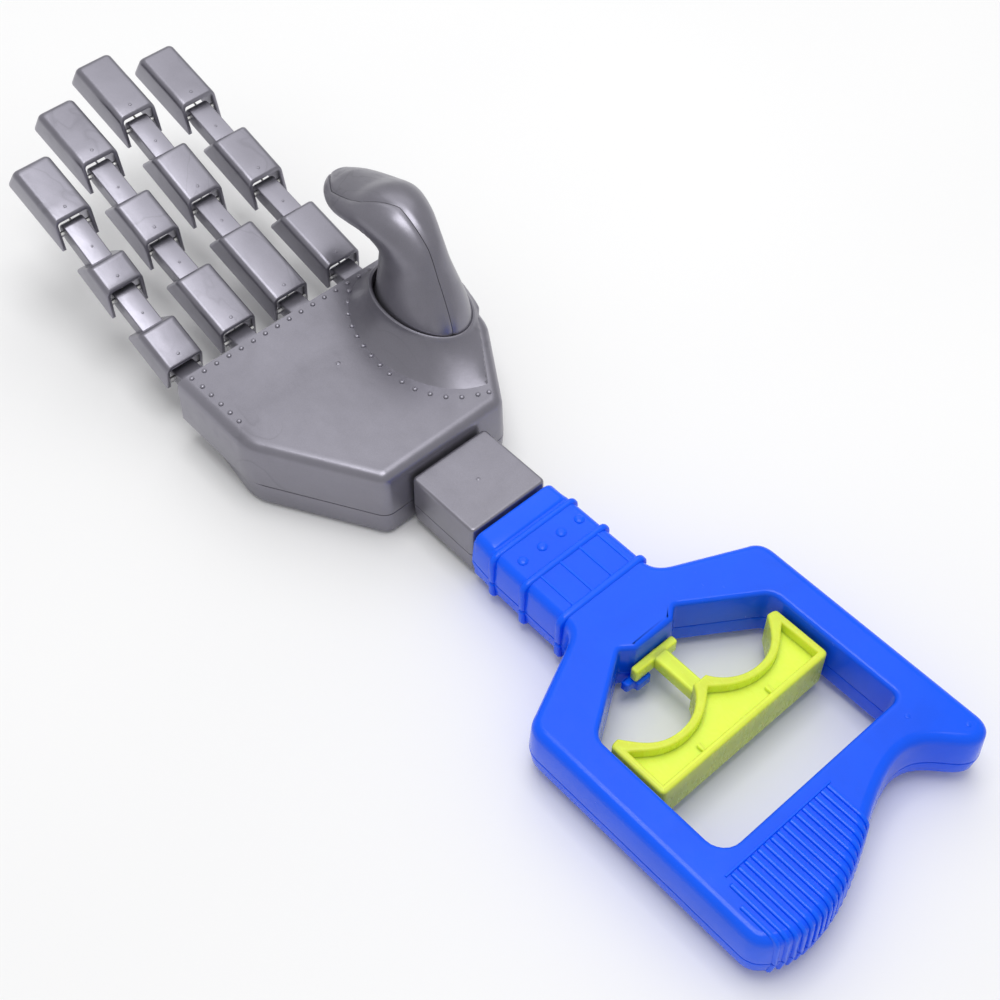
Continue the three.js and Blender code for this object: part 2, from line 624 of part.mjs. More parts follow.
// The three pivots and the tip of the cord in the plane of a finger.
function pivots({ knuckle, links, pitch }) {
  const places = [knuckle];
  links.forEach((link, i) => {
    const [x, z] = places[i];
    places.push([x + link * Math.cos(radians(pitch[i])), z + link * Math.sin(radians(pitch[i]))]);
  });
  return places;
}

function finger(spec) {
  const group = new THREE.Group();
  pivots(spec).forEach(([x, z], kind) => {
    const joint = new THREE.Group();
    joint.position.set(x, spec.y, z);
    joint.rotation.y = -radians(spec.pitch[kind]);
    const link = kind === 2 ? spec.cap : spec.links[kind];
    joint.add(mesh(`${spec.name}_${MEMBERS[kind]}_shell`, member(kind, link), GREY));
    const pin = cylinderY(0, [-PIN.halfLength, PIN.halfLength], 0, PIN.radius, 8);
    joint.add(mesh(`${spec.name}_${MEMBERS[kind]}_pin`, pin, STEEL));
    group.add(joint);
  });
  group.add(pullCord(spec));
  return group;
}

// A cord from the yoke over each pivot to its anchor in the fingertip.
function pullCord(spec) {
  const joints = pivots(spec);
  const raised = ([x, z], degrees, u) => {
    const a = radians(degrees);
    return new THREE.Vector3(
      x + u * Math.cos(a) - CORD.height * Math.sin(a),
      spec.y,
      z + u * Math.sin(a) + CORD.height * Math.cos(a),
    );
  };
  const [kx, kz] = spec.knuckle;
  const route = [new THREE.Vector3(CORD.start, spec.y, kz + CORD.height)];
  route.push(new THREE.Vector3(kx - 1, spec.y, kz + CORD.height));
  route.push(raised(joints[0], spec.pitch[0], 1));
  route.push(raised(joints[1], spec.pitch[0], -1));
  route.push(raised(joints[1], spec.pitch[1], 1));
  route.push(raised(joints[2], spec.pitch[1], -1));
  route.push(raised(joints[2], spec.pitch[2], 1));
  route.push(raised(joints[2], spec.pitch[2], spec.cap - 9));
  const path = new THREE.CurvePath();
  for (let i = 1; i < route.length; i += 1) path.add(new THREE.LineCurve3(route[i - 1], route[i]));
  path.arcLengthDivisions = 400;
  const section = new THREE.Shape();
  section.absarc(0, 0, CORD.radius, 0, 2 * Math.PI);
  const cord = new THREE.ExtrudeGeometry(section, { steps: 22, extrudePath: path, curveSegments: 3 });
  return mesh(`${spec.name}_pull_cord`, solid(cord), WHITE);
}

// ---- assembly ----
function build() {
  const hand = new THREE.Group();
  hand.add(...handleShells(), trigger(), drawbar(), returnSpring(), swivelSpool());
  hand.add(...wristBlock(), ...palm(), ...thumbHalves(), cordYoke());
  hand.add(...FINGERS.map(finger));
  const reach = new THREE.Box3().setFromObject(hand);
  const centre = reach.getCenter(new THREE.Vector3());
  hand.position.set(-centre.x, -centre.y, -reach.min.z);
  const part = new THREE.Group();
  part.add(hand);
  return part;
}

export default build();
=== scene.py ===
"""The looks of the toy hand grabber. Shapes are drawn in millimetres in the hand's own frame (x to the
fingertips, y to the little finger, z out of the palm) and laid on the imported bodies."""
import json
import math

import bpy
from mathutils import Matrix, Vector
from mathutils.geometry import tessellate_polygon


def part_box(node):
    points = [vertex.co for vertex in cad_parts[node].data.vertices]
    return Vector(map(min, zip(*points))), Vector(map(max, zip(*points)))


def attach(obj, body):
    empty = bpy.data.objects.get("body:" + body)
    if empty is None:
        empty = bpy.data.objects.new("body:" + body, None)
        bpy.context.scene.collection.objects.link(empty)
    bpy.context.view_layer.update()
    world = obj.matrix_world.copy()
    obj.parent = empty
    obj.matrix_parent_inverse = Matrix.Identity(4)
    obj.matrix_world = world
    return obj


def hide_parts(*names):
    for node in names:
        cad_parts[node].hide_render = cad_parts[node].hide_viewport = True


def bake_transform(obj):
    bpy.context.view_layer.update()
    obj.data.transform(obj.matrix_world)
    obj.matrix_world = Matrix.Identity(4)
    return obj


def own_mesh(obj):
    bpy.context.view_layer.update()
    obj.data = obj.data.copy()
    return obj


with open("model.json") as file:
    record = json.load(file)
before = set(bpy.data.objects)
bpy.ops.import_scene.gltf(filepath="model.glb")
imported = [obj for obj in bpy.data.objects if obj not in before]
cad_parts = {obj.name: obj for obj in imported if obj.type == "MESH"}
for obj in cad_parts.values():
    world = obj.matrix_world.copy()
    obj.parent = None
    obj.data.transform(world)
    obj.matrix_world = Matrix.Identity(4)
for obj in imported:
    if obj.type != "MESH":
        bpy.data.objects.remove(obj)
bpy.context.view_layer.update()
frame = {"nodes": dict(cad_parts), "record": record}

# The palm's front and left faces, which place the drawing in the row frame.
PALM_FRONT, PALM_LEFT = 143.8, 48.4
SHIFT = Vector((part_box("palm_back_cover")[1].x * 1000 - PALM_FRONT,
                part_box("palm_front_cover")[1].y * 1000 - PALM_LEFT, 0))
TO_ROW = Matrix.Scale(0.001, 4) @ Matrix.Translation(SHIFT)

AXIS_Z = 12.65
PART_LOW, PART_HIGH = 10.05, 10.35  # the parting gap of every casing
PLAIN = Matrix.Identity(4)


# ---- outlines ----
def bezier(stops, t):
    while len(stops) > 1:
        stops = [a.lerp(b, t) for a, b in zip(stops, stops[1:])]
    return stops[0]


def path(start, *steps, n=12):
    """A closed outline: a step of 2 numbers is a line, of 4 a quadratic curve and of 6 a cubic one."""
    points = [Vector(start)]
    for step in steps:
        stops = [points[-1]] + [Vector(step[i:i + 2]) for i in range(0, len(step), 2)]
        count = 1 if len(stops) == 2 else n
        points += [bezier(stops, (k + 1) / count) for k in range(count)]
    if (points[0] - points[-1]).length < 0.01:
        points.pop()
    return points


def rounded(corners, n=6):
    """A closed outline through corners (x, y, radius)."""
    points = []
    for i, (x, y, radius) in enumerate(corners):
        corner = Vector((x, y))
        before = (Vector(corners[i - 1][:2]) - corner).normalized()
        after = (Vector(corners[(i + 1) % len(corners)][:2]) - corner).normalized()
        if radius == 0:
            points.append(corner)
            continue
        half = math.acos(max(-1, min(1, before.dot(after)))) / 2
        reach = radius / math.tan(half)
        centre = corner + (before + after).normalized() * radius / math.sin(half)
        a = corner + before * reach - centre
        b = corner + after * reach - centre
        turn = a.angle_signed(b)
        for k in range(n + 1):
            spin = Matrix.Rotation(-turn * k / n, 2)
            points.append(centre + spin @ a)
    return points


def circle(x, y, radius, n=24):
    return [Vector((x + radius * math.cos(2 * math.pi * k / n), y + radius * math.sin(2 * math.pi * k / n)))
            for k in range(n)]


def offset(points, distance, weight=None):
    """The outline moved to the left of its own direction, so inwards when it runs anticlockwise. weight
    scales the distance for the edge whose middle it is given."""
    moved = []
    for i, p in enumerate(points):
        before, after = points[i - 1], points[(i + 1) % len(points)]
        a, b = (p - before).normalized(), (after - p).normalized()
        left, right = Vector((-a.y, a.x)), Vector((-b.y, b.x))
        da, db = (distance * (weight((p + q) / 2) if weight else 1) for q in (before, after))
        turn = left.x * right.y - left.y * right.x
        if abs(turn) > 0.3:
            moved.append(p + Vector((da * right.y - db * left.y, db * left.x - da * right.x)) / turn)
        else:
            normal = (left + right).normalized()
            moved.append(p + normal * (da + db) / 2 / max(0.5, normal.dot(left)))
    return moved


def levels(z0, z1, low=0.3, high=0.3, draft_low=0.0, draft_high=0.0, steps=5, margin=0.35):
    """(inset, z) rings of a wall with rounded rims and a little draft towards each."""
    rings = []
    for z, radius, draft, way in ((z0, low, draft_low, 1), (z1, high, draft_high, -1)):
        arc = [(radius * (1 - math.sin(a)) + draft, z + way * radius * (1 - math.cos(a)))
               for a in (math.pi / 2 * k / steps for k in range(steps + 1))]
        arc = [(draft + radius + margin, z)] + arc
        rings.append(arc if way == 1 else arc[::-1])
    return rings[0] + rings[1]


# ---- bodies ----
class Form:
    """Vertices and faces that grow into one mesh."""

    def __init__(self):
        self.verts, self.faces = [], []

    def skin(self, rings, matrix=PLAIN, caps=(True, True), flip=False):
        """Closed rings of one length joined in order, with a flat face on each capped end."""
        flip ^= matrix.determinant() < 0
        base, n = len(self.verts), len(rings[0])
        for ring in rings:
            self.verts += [matrix @ Vector(p) for p in ring]
        made = []
        for r in range(len(rings) - 1):
            for i in range(n):
                a, b = base + r * n + i, base + r * n + (i + 1) % n
                made.append((a, b, b + n, a + n))
        if caps[0]:
            made.append(tuple(base + i for i in reversed(range(n))))
        if caps[1]:
            made.append(tuple(base + (len(rings) - 1) * n + i for i in range(n)))
        self.faces += [f[::-1] if flip else f for f in made]

    def plate(self, outer, rims, holes=(), matrix=PLAIN, weight=None):
        """A slab over an outline. rims are its (inset, z) rings, and a hole is (outline, its own rings)."""
        loops = [(outer, rims, weight)] + [(hole[::-1], its, None) for hole, its in holes]
        flip = matrix.determinant() < 0
        ends = ([], [])
        for points, its, share in loops:
            rings = [[(p.x, p.y, z) for p in offset(points, inset, share)] for inset, z in its]
            start = len(self.verts)
            self.skin(rings, matrix, (False, False))
            last = start + (len(rings) - 1) * len(points)
            ends[0].append(([Vector(p) for p in rings[0]], start))
            ends[1].append(([Vector(p) for p in rings[-1]], last))
        for side, loop_set in enumerate(ends):
            index = [start + i for ring, start in loop_set for i in range(len(ring))]
            flat = [Vector((p.x, p.y, 0)) for ring, _ in loop_set for p in ring]
            for tri in tessellate_polygon([[Vector((p.x, p.y, 0)) for p in ring] for ring, _ in loop_set]):
                a, b, c = (flat[i] for i in tri)
                up = (b - a).cross(c - a).z > 0
                if (b - a).cross(c - a).length < 1e-9:
                    continue
                face = tuple(index[i] for i in tri)
                wanted = (side == 1) ^ flip
                self.faces.append(face if up == wanted else face[::-1])

    def block(self, x, y, z, edge=0.5, matrix=PLAIN):
        """A box with rounded edges."""
        r = edge + 0.06
        outline = rounded([(x[0], y[0], r), (x[1], y[0], r), (x[1], y[1], r), (x[0], y[1], r)], 3)
        self.plate(outline, levels(z[0], z[1], edge, edge, steps=3, margin=0.05), matrix=matrix)

    def dome(self, place, radius, height, matrix=PLAIN, n=14):
        """A low round head standing on a surface, rooted a little below it."""
        x, y, z = place
        turns = [2 * math.pi * k / n for k in range(n)]
        steps = [(1, -0.25), (1, 0), (0.96, height * 0.35), (0.8, height * 0.7), (0.5, height * 0.93),
                 (0.15, height)]
        rings = [[(x + radius * s * math.cos(a), y + radius * s * math.sin(a), z + h) for a in turns]
                 for s, h in steps]
        self.skin(rings, matrix)

    def sweep(self, spine, section, side, caps=(True, True)):
        """A section of (sideways, outwards) points carried along a spine of (point, outward direction)."""
        rings = [[point + side * a + out * b for a, b in section] for point, out in spine]
        self.skin(rings, caps=caps)

    def tube(self, points, radius, n=10):
        rings = []
        for i, p in enumerate(points):
            heading = (points[min(i + 1, len(points) - 1)] - points[max(i - 1, 0)]).normalized()
            u = heading.cross(Vector((0, 1, 0.01))).normalized()
            v = heading.cross(u)
            rings.append([p + (u * math.cos(a) + v * math.sin(a)) * radius
                          for a in (2 * math.pi * k / n for k in range(n))])
        self.skin(rings)

    def piece(self, name, look, body, replaced=(), smooth=32):
        """The mesh as an object that rides on a body and stands for the replaced nodes."""
        mesh = bpy.data.meshes.new(name)
        mesh.from_pydata([TO_ROW @ v for v in self.verts], [], self.faces)
        mesh.validate()
        mesh.polygons.foreach_set("use_smooth", [True] * len(mesh.polygons))
        mesh.set_sharp_from_angle(angle=math.radians(smooth))
        obj = bpy.data.objects.new(name, mesh)
        bpy.context.scene.collection.objects.link(obj)
        mesh.materials.append(LOOKS[look])
        if body:
            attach(obj, body)
        if replaced:
            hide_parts(*replaced)
        return obj


# ---- materials ----
class Nodes:
    """A short hand for wiring a material's nodes."""

    def __init__(self, name):
        self.material = bpy.data.materials.new(name)
        self.material.use_nodes = True
        self.tree = self.material.node_tree
        self.shader = self.tree.nodes["Principled BSDF"]
        self.place = self.add("ShaderNodeTexCoord").outputs["Object"]

    def add(self, kind, **values):
        node = self.tree.nodes.new(kind)
        for key, value in values.items():
            setattr(node, key, value)
        return node

    def link(self, a, b):
        self.tree.links.new(a, b)

    def noise(self, scale, detail=3.0, rough=0.5, warp=0.0, stretch=None):
        place = self.place
        if stretch:
            mapping = self.add("ShaderNodeMapping")
            mapping.inputs["Scale"].default_value = stretch
            self.link(place, mapping.inputs["Vector"])
            place = mapping.outputs["Vector"]
        node = self.add("ShaderNodeTexNoise")
        self.link(place, node.inputs["Vector"])
        for key, value in (("Scale", scale), ("Detail", detail), ("Roughness", rough), ("Distortion", warp)):
            node.inputs[key].default_value = value
        return node.outputs["Fac"]

    def ramp(self, source, stops):
        """A colour ramp through (position, grey or colour) stops."""
        node = self.add("ShaderNodeValToRGB")
        ramp = node.color_ramp
        while len(ramp.elements) < len(stops):
            ramp.elements.new(0.5)
        for element, (position, colour) in zip(ramp.elements, stops):
            element.position = position
            element.color = (*(colour if isinstance(colour, tuple) else (colour,) * 3), 1)
        self.link(source, node.inputs["Fac"])
        return node.outputs["Color"]

    def mix(self, share, a, b, mode="MIX"):
        node = self.add("ShaderNodeMix", data_type="RGBA", blend_type=mode)
        for key, value in ((0, share), (6, a), (7, b)):
            if isinstance(value, bpy.types.NodeSocket):
                self.link(value, node.inputs[key])
            elif key == 0:
                node.inputs[0].default_value = value
            else:
                node.inputs[key].default_value = (*value, 1)
        return node.outputs[2]

    def bump(self, source, strength, distance, normal=None):
        node = self.add("ShaderNodeBump")
        node.inputs["Strength"].default_value = strength
        node.inputs["Distance"].default_value = distance
        self.link(source, node.inputs["Height"])
        if normal:
            self.link(normal, node.inputs["Normal"])
        return node.outputs["Normal"]

    def edges(self, low, high):
        """1 on outer edges and 0 on flats, from the surface's own curvature."""
        return self.ramp(self.add("ShaderNodeNewGeometry").outputs["Pointiness"], [(low, 0.0), (high, 1.0)])


def tint(colour, factor):
    return tuple(min(1.0, c * factor) for c in colour)


def plastic(name, colour, roughness, metallic=0.0, coat=0.0, glow=0.0, grain=0.0, deep=None, flow=0.0,
            gloss=0.5):
    """Moulded plastic: clouded colour, outer edges painted lighter as a painted highlight, uneven gloss, a faint
    orange-peel skin.
    """
    made = Nodes(name)
    shades = [(0.3, tint(colour, 0.9)), (0.52, colour), (0.75, tint(colour, 1.08))]
    clouds = made.ramp(made.noise(34, 4, 0.6, 0.6), shades)
    body = clouds
    if deep:
        body = made.mix(made.ramp(made.noise(16, 2, 0.5, 0.4), [(0.38, 0.0), (0.7, 0.35)]), body, deep)
    if grain:
        flakes = made.ramp(made.noise(5200, 1, 0.5), [(0.35, 1 - grain), (0.65, 1 + grain)])
        body = made.mix(1.0, body, flakes, "MULTIPLY")
    if flow:
        line = made.ramp(made.noise(26, 2, 0.45, 1.6, (1, 1.6, 1)),
                         [(0.478, 1.0), (0.5, 1 - flow), (0.506, 1 - flow * 0.6), (0.53, 1.0)])
        patch = made.ramp(made.noise(13, 1, 0.5), [(0.5, 0.0), (0.6, 1.0)])
        body = made.mix(1.0, body, made.mix(patch, (1, 1, 1), line), "MULTIPLY")
    # Outer edges are painted lighter by their curvature: a painted highlight along the rims.
    painted_edge_highlight = made.mix(made.edges(0.5, 0.62), body, tint(colour, 1.25))
    made.link(painted_edge_highlight, made.shader.inputs["Base Color"])
    scuffs = made.ramp(made.noise(150, 5, 0.65, 0.3, (1, 2.2, 1)),
                       [(0.3, roughness - 0.05), (0.55, roughness), (0.8, roughness + 0.12)])
    made.link(scuffs, made.shader.inputs["Roughness"])
    skin = made.bump(made.noise(900, 2, 0.5), 0.06, 0.0002)
    made.link(made.bump(made.noise(75, 2, 0.5), 0.10, 0.0006, skin), made.shader.inputs["Normal"])
    made.shader.inputs["Metallic"].default_value = metallic
    made.shader.inputs["Specular IOR Level"].default_value = gloss
    made.shader.inputs["Coat Weight"].default_value = coat
    made.shader.inputs["Coat Roughness"].default_value = 0.12
    if glow:
        made.shader.inputs["Subsurface Weight"].default_value = glow
        made.shader.inputs["Subsurface Radius"].default_value = (0.004, 0.003, 0.001)
        made.shader.inputs["Subsurface Scale"].default_value = 1.0
    return made.material


def steel(name):
    """Zinc-plated steel with turning marks and dull patches."""
    made = Nodes(name)
    tone = made.ramp(made.noise(420, 4, 0.6), [(0.3, (0.36, 0.36, 0.38)), (0.7, (0.62, 0.62, 0.6))])
    # Outer edges are painted lighter by their curvature: a painted highlight.
    made.link(made.mix(made.edges(0.5, 0.6), tone, (0.8, 0.8, 0.78)), made.shader.inputs["Base Color"])
    made.link(made.ramp(made.noise(900, 3, 0.6), [(0.3, 0.24), (0.7, 0.45)]), made.shader.inputs["Roughness"])
    made.link(made.bump(made.noise(2600, 2, 0.5), 0.15, 0.0001), made.shader.inputs["Normal"])
    made.shader.inputs["Metallic"].default_value = 1.0
    return made.material


LOOKS = {
    "silver_grey_plastic": plastic("silver_grey_plastic", (0.235, 0.228, 0.266), 0.34, 0.75, 0.08,
                                   grain=0.05, flow=0.15, gloss=0.35),
    "blue_plastic": plastic("blue_plastic", (0.002, 0.10, 0.93), 0.2, deep=(0.001, 0.07, 0.8), gloss=0.26),
    "yellow_plastic": plastic("yellow_plastic", (0.66, 0.80, 0.08), 0.28, glow=0.5,
                              deep=(0.80, 0.74, 0.05), gloss=0.3),
    "steel": steel("steel"),
    "white_nylon": plastic("white_nylon", (0.78, 0.78, 0.75), 0.42, glow=0.2),
    "white_cord": plastic("white_cord", (0.5, 0.5, 0.5), 0.4, glow=0.2),
}


# ---- screws ----
HANDLE_SCREWS = [(4, 10.8), (4, -10.8), (-52, 41.3), (-52, -41.3), (-97, 22)]
PALM_SCREWS = [(133, -17.4), (133, 27.6), (79, 17), (79, -17)]
BLOCK_SCREWS = [(56, 10.6), (56, -10.6)]
WELL = 3.0


def cross(x, y, reach=1.5, arm=0.38):
    quarter = [(arm, arm), (arm, reach), (-arm, reach), (-arm, arm), (-reach, arm), (-reach, -arm),
               (-arm, -arm), (-arm, -reach), (arm, -reach), (arm, -arm), (reach, -arm), (reach, arm)]
    return [Vector((x + a, y + b)) for a, b in quarter]


def screw(name, x, y, floor, body, top=17.5):
    """A pan-head screw, head down, with a cross recess."""
    form = Form()
    low = floor + 1.2
    head = [(1.1, low), (0.45, low + 0.12), (0.1, low + 0.5), (0, low + 1.0), (0, low + 1.9)]
    form.plate(circle(x, y, 2.7), head, [(cross(x, y), [(0, low)] * 2 + [(0.12, low + 1.3)] * 3)])
    form.plate(circle(x, y, 1.6, 12), [(0, low + 1.25), (0, low + 1.6)])
    rings = []
    z = low + 1.7
    while z < top - 1.4:
        rings += [(0.22, z), (0, z + 0.3), (0.22, z + 0.6)]
        z += 0.75
    form.plate(circle(x, y, 1.25, 12), rings + [(0.3, top - 1.0), (1.0, top)])
    return form.piece(name, "steel", body, [name])


def wells(places, rims):
    return [(circle(x, y, WELL), rims) for x, y in places]


# ---- handle ----
HANDLE_LOW, HANDLE_HIGH = 2.8, 22.3
SIDE, FRAME_FRONT = 48.6, -20.4
handle_outline = path(
    (37.9, -16.2), (37.9, 16.2), (29.5, 17.1), (-3.5, 17.3), (-6.5, 17.8, -8.5, 21.8),
    (FRAME_FRONT + 1.8, SIDE - 5.2), (FRAME_FRONT, SIDE, FRAME_FRONT - 6, SIDE),
    (-103, SIDE), (-109.5, SIDE, -113, 40.5, -113, 31), (-113, 12, -97.5, -6, -96.2, -21.5),
    (-95.2, -33, -107, -35.5, -108.4, -42), (-108.9, -46, -106.5, -SIDE, -102, -SIDE),
    (FRAME_FRONT - 6, -SIDE), (FRAME_FRONT, -SIDE, FRAME_FRONT + 1.8, 5.2 - SIDE), (-8.5, -21.8),
    (-6.5, -17.8, -3.5, -17.3), (29.5, -17.1))
loop_opening = rounded([
    (-23.6, 7.6, 0.8), (-20.6, 11.4, 1.2), (-36.6, 35.5, 5), (-83.6, 35.5, 6), (-83.6, -35.5, 2.5),
    (-36.6, -35.5, 5), (-20.6, -11.4, 1.2), (-23.6, -7.6, 0.8)])
front_rims = levels(PART_HIGH, HANDLE_HIGH, 0.25, 3.0, 0, 0.5)
back_rims = levels(HANDLE_LOW, PART_LOW, 2.4, 0.25, 0.6, 0)
ACROSS = Matrix(((0, 0, 1, 0), (1, 0, 0, 0), (0, 1, 0, 0), (0, 0, 0, 1)))  # draws in y and z, runs along x


def hoop(form, x, half, z, low, high, edge):
    """A raised band round the neck's upper or lower half."""
    low, high = max(low, edge + 0.1), max(high, edge + 0.1)
    outline = rounded([(-half, z[0], low), (half, z[0], low), (half, z[1], high), (-half, z[1], high)], 5)
    form.plate(outline, levels(x[0], x[1], edge, edge, steps=4, margin=0.05), matrix=ACROSS)


def rear_x(outline, y):
    """Where the grip's rear edge crosses a line of constant y."""
    found = [a.x + (b.x - a.x) * (y - a.y) / (b.y - a.y) for a, b in zip(outline, outline[1:] + outline[:1])
             if (a.y - y) * (b.y - y) <= 0 and a.y != b.y and max(a.x, b.x) < -90]
    return min(found)


RIDGE_COUNT = 18
HORN_MARKS = [(-89.5, -32.5), (-102.5, -43)]
RIDGE_SECTION = [(-0.8, -0.4), (0.8, -0.4), (0.75, 0.05), (0.58, 0.55), (0.25, 0.72), (-0.25, 0.72),
                 (-0.58, 0.55), (-0.75, 0.05)]


def ridges(form, rims, z_top=None):
    """Grip ridges that run back over the rear edge and down the wall."""
    for i in range(RIDGE_COUNT):
        y = 0.4 + 2.52 * i
        start = -88.7 if y < 39.9 else -88.7 - (y - 39.9) * 2.4
        spots = [(rear_x(offset(handle_outline, inset), y), z) for inset, z in rims]
        if z_top is not None:
            first = spots[-1][0]
            spots = spots + [(first + (start - first) * t, z_top) for t in (0.25, 0.6, 0.97, 1.0)]
        spine = []
        for k, (x, z) in enumerate(spots):
            a, b = spots[max(0, k - 1)], spots[min(len(spots) - 1, k + 1)]
            along = Vector((b[0] - a[0], 0, b[1] - a[1])).normalized()
            out = Vector((-along.z, 0, along.x))
            sink = 0.75 if k in (0, len(spots) - 1) else 0
            spine.append((Vector((x, y, z)) - out * sink, out))
        form.sweep(spine, RIDGE_SECTION, Vector((0, 1, 0)))


def handle():
    front = Form()
    opening_rims = levels(PART_HIGH, HANDLE_HIGH, 0.25, 1.5, 0, 0.4)
    front.plate(handle_outline, front_rims, [(loop_opening, opening_rims)])
    hoop(front, (29.2, 37.5), 16.1, (PART_HIGH, 22.75), 0.3, 3.2, 1.3)
    hoop(front, (26.7, 28.9), 17.9, (PART_HIGH, 22.75), 0.3, 3.4, 0.8)
    hoop(front, (13.0, 15.4), 18.1, (PART_HIGH, 22.9), 0.3, 3.4, 0.9)
    hoop(front, (-2.8, -0.2), 18.1, (PART_HIGH, 22.9), 0.3, 3.4, 0.9)
    for y in (10.8, 2.9, -4.9, -12.4):
        front.dome((21, y, HANDLE_HIGH), 1.7, 0.6)
    for y in (10.6, 2.8, -5.2, -12.6):
        front.block((-0.8, 13.4), (y - 0.45, y + 0.45), (21.6, 22.62), 0.25)
    ridges(front, [rim for rim in front_rims if rim[1] > PART_HIGH + 0.1][:-1], HANDLE_HIGH)
    front.block((-88.8, -88.1), (-1.2, 40.2), (21.7, 22.75), 0.2)
    for x, y in HORN_MARKS:
        front.dome((x, y, HANDLE_HIGH), 0.9, 0.25)
    shell = front.piece("handle_front", "blue_plastic", "handle", ["handle_front_shell"])

    back = Form()
    back.plate(handle_outline, back_rims,
               [(loop_opening, levels(HANDLE_LOW, PART_LOW, 1.3, 0.25, 0.3, 0))]
               + wells(HANDLE_SCREWS, levels(HANDLE_LOW, PART_LOW, 0.3, 0.1)))
    for x, half in (((29.2, 37.5), 16.1), ((26.7, 28.9), 17.9), ((13.0, 15.4), 18.1), ((-2.8, -0.2), 18.1)):
        hoop(back, x, half, (HANDLE_LOW - 0.3, PART_LOW), 2.6, 0.3, 0.8)
    back.plate(rounded([(-104, 4, 2), (-88, 4, 2), (-88, 40, 2), (-104, 40, 2)]), levels(0, 3.2, 0.8, 0.1),
               wells(HANDLE_SCREWS[-1:], levels(0, 3.2, 0.3, 0.1)))
    back.plate(rounded([(-27.5, 4.2, 0.8), (-23.2, 4.2, 0.3), (-23.2, 12.6, 0.3), (-25.8, 12.6, 1.2),
                        (-25.8, 9.8, 0.8), (-27.5, 9.6, 0.8)], 4), levels(5.8, 9.6, 0.5, 0.5, margin=0.05))
    ridges(back, [rim for rim in back_rims if rim[1] < PART_LOW - 0.1][3:])
    under = back.piece("handle_back", "blue_plastic", "handle", ["handle_back_shell"])
    for i, (x, y) in enumerate(HANDLE_SCREWS):
        screw(f"handle_screw_{i + 1}", x, y, HANDLE_LOW, "handle")
    return shell, under


# ---- trigger ----
REAR, TIP, ROOT, FLOOR, TRIGGER_SIDE, RIM = -60.3, -39.4, -41.4, -49.2, 34, 2.4
trigger_outline = path(
    (REAR + 2, -34), (TIP - 1.5, -34), (TIP, -34, TIP, -30.8), (TIP - 3.4, -27.8, FLOOR, -24.8, FLOOR, -15.8),
    (FLOOR, -7.8, ROOT - 2, -3.4, ROOT, -2.6), (ROOT, 2.6), (ROOT - 2, 3.4, FLOOR, 7.8, FLOOR, 15.8),
    (FLOOR, 24.8, TIP - 3.4, 27.8, TIP, 30.8), (TIP, 34, TIP - 1.5, 34), (REAR + 2, 34), (REAR, 34, REAR, 32),
    (REAR, -32), (REAR, -34, REAR + 2, -34))
INSIDE = TRIGGER_SIDE - RIM
trigger_pocket = path(
    (REAR + RIM, -INSIDE), (TIP - 5, -INSIDE),
    (TIP - 7, 3.5 - INSIDE, FLOOR - RIM, -24.8, FLOOR - RIM, -15.8),
    (FLOOR - RIM, -6.8, ROOT - RIM - 2, -2, ROOT - RIM - 1, 0),
    (ROOT - RIM - 2, 2, FLOOR - RIM, 6.8, FLOOR - RIM, 15.8),
    (FLOOR - RIM, 24.8, TIP - 7, INSIDE - 3.5, TIP - 5, INSIDE), (REAR + RIM, INSIDE))


def trigger():
    form = Form()
    rims = levels(4.6, 19.4, 0.9, 0.9)
    form.plate(trigger_outline, rims, [(trigger_pocket, levels(4.6, 19.4, 0.7, 0.7))])
    form.plate(offset(trigger_outline, 1), [(0, 11.4), (0, 15.4)])
    for y in (-14, 14):
        form.block((-58.4, -54.6), (y - 0.8, y + 0.8), (5.6, 16.6), 0.3)
    form.block((-46, -25), (-2.6, 2.6), (9.95, 15.2), 0.8)
    form.block((-26.6, -23.9), (-7, 10), (9.9, 15.3), 0.7)
    angles = [2 * math.pi * k / 12 for k in range(12)]
    rod = [[(x, 1.2 * math.cos(a), AXIS_Z + 1.2 * math.sin(a)) for a in angles] for x in (-24.4, -19)]
    form.skin(rod)
    return form.piece("trigger_grip", "yellow_plastic", "trigger", ["trigger"])


# ---- wrist block ----
def wrist_block():
    outline = rounded([(38.5, -15.3, 1.9), (67.4, -15.3, 1.9), (67.4, 15.3, 1.9), (38.5, 15.3, 1.9)])
    tenon = [((67.0, 73.4), 9), ((70.7, 73.4), 12)]
    front = Form()
    front.plate(outline, levels(PART_HIGH, 22.4, 0.2, 1.0, 0, 0.2))
    for x, half in tenon:
        front.block(x, (-half, half), (PART_HIGH, 19.4), 0.3)
    front.dome((53, 0, 22.35), 0.7, 0.2)
    front.piece("wrist_block_upper", "silver_grey_plastic", "hand", ["wrist_block_front"])
    back = Form()
    back.plate(outline, levels(2.4, PART_LOW, 1.2, 0.2, 0.3, 0),
               wells(BLOCK_SCREWS, levels(2.4, PART_LOW, 0.3, 0.1)))
    for x, half in tenon:
        back.block(x, (-half, half), (5.4, PART_LOW), 0.3)
    back.piece("wrist_block_lower", "silver_grey_plastic", "hand", ["wrist_block_back"])
    for i, (x, y) in enumerate(BLOCK_SCREWS):
        screw(f"wrist_screw_{i + 1}", x, y, 2.4, "hand")


# ---- thumb ----
THUMB_X, THUMB_Y, THUMB_LEAN = 113, -28.9, -0.13  # its screw, and its turn about it in radians
THUMB_TURN = (Matrix.Translation((THUMB_X, THUMB_Y, 0)) @ Matrix.Rotation(THUMB_LEAN, 4, "Z")
              @ Matrix.Translation((-THUMB_X, -THUMB_Y, 0)))
THUMB_SECTIONS = [
    (112.7, 29.4, 21.3, 14.6), (113, 37, 19.9, 13.4), (115.6, 49, 15.6, 10.6), (117.9, 56.4, 12.6, 9.8),
    (122.6, 61.2, 9.2, 11), (130.5, 62, 7.8, 12.2), (139, 59, 6.8, 12.2), (149, 54.8, 6.9, 11),
    (157, 51.4, 6.9, 8.6), (162.2, 49.6, 5.2, 5.8), (165, 49, 1.8, 2.2)]
